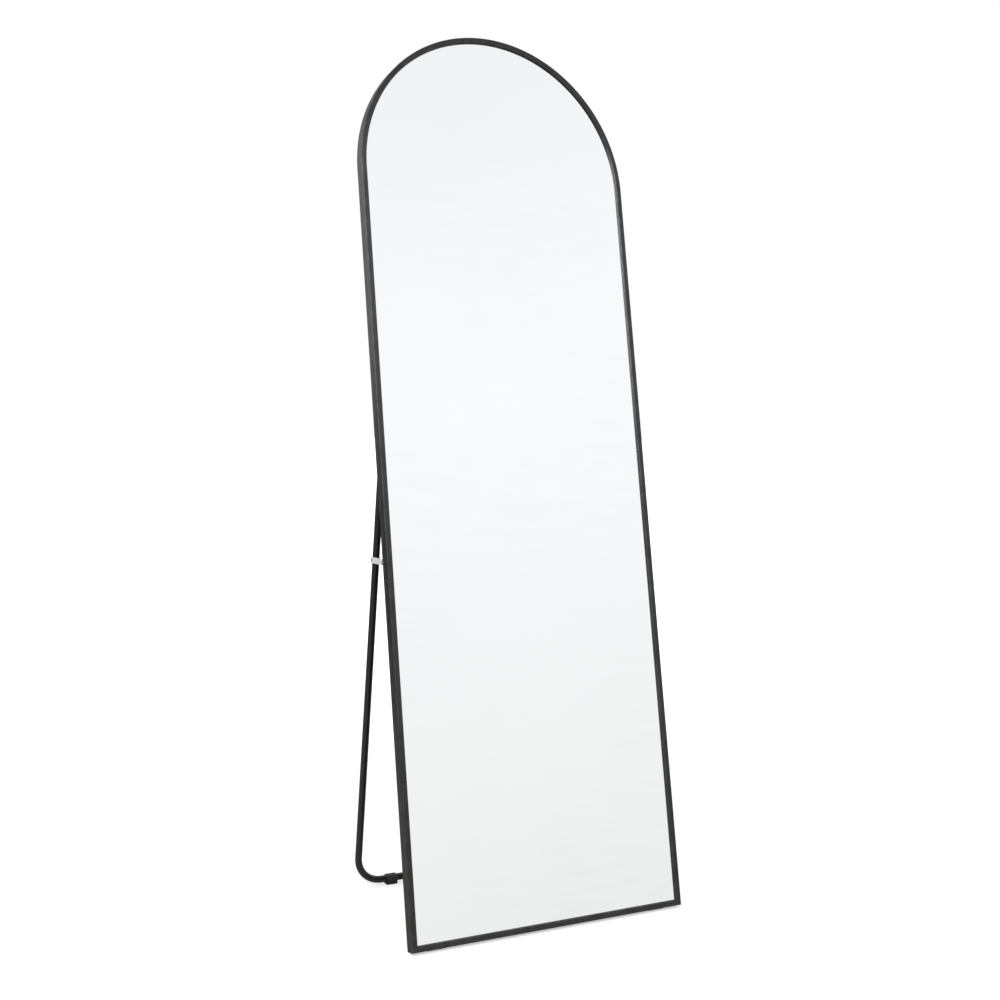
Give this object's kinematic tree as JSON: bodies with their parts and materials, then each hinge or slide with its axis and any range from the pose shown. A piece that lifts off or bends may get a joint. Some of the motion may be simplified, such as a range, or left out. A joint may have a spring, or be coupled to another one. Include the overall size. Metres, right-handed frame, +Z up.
{
  "type": "leaning floor mirror",
  "caption": "Arched full-length floor mirror in a slim metal frame, standing on a folding U-shaped rear stand held open by jointed stays.",
  "frame": {"origin": "on the floor, in the middle of the standing mirror's outline", "axes": "+Z up, +X across to the right as seen from the front, +Y to the rear; the glass faces -Y and leans back towards +Y"},
  "size_m": [0.5, 0.3566, 1.4666],
  "materials": {
    "frame_metal": "dark grey anodised, finely brushed lengthwise",
    "mirror_glass": "clear float glass, silvered on the back",
    "film": "thin plastic film that holds broken glass",
    "board": "black-faced hardboard",
    "stand_tube": "black powder coat, satin",
    "black_rubber": "matte, moulded",
    "clear_silicone": "translucent, smooth",
    "zinc_steel": "bright zinc plate, fine rolled grain",
    "black_steel": "black zinc plate, semi-gloss",
    "cast_key": "die-cast zinc alloy, as cast",
    "nylon": "black nylon, moulded"
  },
  "bodies": {
    "frame": {"frame_arch": "frame_metal", "bottom_rail": "frame_metal", "mirror_glass": "mirror_glass", "safety_film": "film", "back_board": "board", "corner_key_left": "cast_key", "corner_key_right": "cast_key", "setting_block_left": "black_rubber", "setting_block_right": "black_rubber", "bottom_pad_left": "clear_silicone", "bottom_pad_right": "clear_silicone", "hanger_plate_left": "zinc_steel", "hanger_plate_right": "zinc_steel", "pivot_bolt_left": "black_steel", "pivot_bolt_right": "black_steel", "pivot_nut_left": "zinc_steel", "pivot_nut_right": "zinc_steel", "stay_stud_left": "zinc_steel", "stay_stud_right": "zinc_steel", "stay_screw_left": "black_steel", "stay_screw_right": "black_steel", "corner_screw_left_upper": "zinc_steel", "corner_screw_left_lower": "zinc_steel", "corner_screw_right_upper": "zinc_steel", "corner_screw_right_lower": "zinc_steel", "hanger_screw_left_upper": "zinc_steel", "hanger_screw_left_lower": "zinc_steel", "hanger_screw_right_upper": "zinc_steel", "hanger_screw_right_lower": "zinc_steel"},
    "stand": {"stand_tube": "stand_tube", "tube_insert_left": "nylon", "tube_insert_right": "nylon", "stand_foot_left": "black_rubber", "stand_foot_right": "black_rubber", "pivot_spacer_left": "nylon", "pivot_spacer_right": "nylon", "pivot_saddle_washer_left": "nylon", "pivot_saddle_washer_right": "nylon", "leg_rivet_left": "zinc_steel", "leg_rivet_right": "zinc_steel"},
    "front_link_left": {"stay_front_link_left": "zinc_steel", "knee_rivet_left": "zinc_steel"},
    "rear_link_left": {"stay_rear_link_left": "zinc_steel", "knee_tail_left": "zinc_steel"},
    "front_link_right": {"stay_front_link_right": "zinc_steel", "knee_rivet_right": "zinc_steel"},
    "rear_link_right": {"stay_rear_link_right": "zinc_steel", "knee_tail_right": "zinc_steel"}
  },
  "joints": [
    {"name": "stand_fold", "type": "hinge", "parent": "frame", "child": "stand", "pos_m": [0, 0.04343, 0.90442], "axis": [1, 0, 0], "range_deg": [-17.2, 0]},
    {"name": "stay_front_left", "type": "hinge", "parent": "frame", "child": "front_link_left", "pos_m": [-0.2215, -0.03013, 0.5858], "axis": [1, 0, 0], "range_deg": [-95.7, 0]},
    {"name": "stay_front_right", "type": "hinge", "parent": "frame", "child": "front_link_right", "pos_m": [0.2215, -0.03013, 0.5858], "axis": [1, 0, 0], "range_deg": [-95.7, 0]},
    {"name": "stay_rear_left", "type": "hinge", "parent": "stand", "child": "rear_link_left", "pos_m": [-0.2215, 0.07022, 0.57852], "axis": [1, 0, 0], "range_deg": [0, 95.7]},
    {"name": "stay_rear_right", "type": "hinge", "parent": "stand", "child": "rear_link_right", "pos_m": [0.2215, 0.07022, 0.57852], "axis": [1, 0, 0], "range_deg": [0, 95.7]}
  ],
  "couplings": [
    {"joint": "stay_front_left", "follows": "stand_fold", "ratio": 5.5587},
    {"joint": "stay_front_right", "follows": "stand_fold", "ratio": 5.5587},
    {"joint": "stay_rear_left", "follows": "stand_fold", "ratio": -5.5587},
    {"joint": "stay_rear_right", "follows": "stand_fold", "ratio": -5.5587}
  ]
}
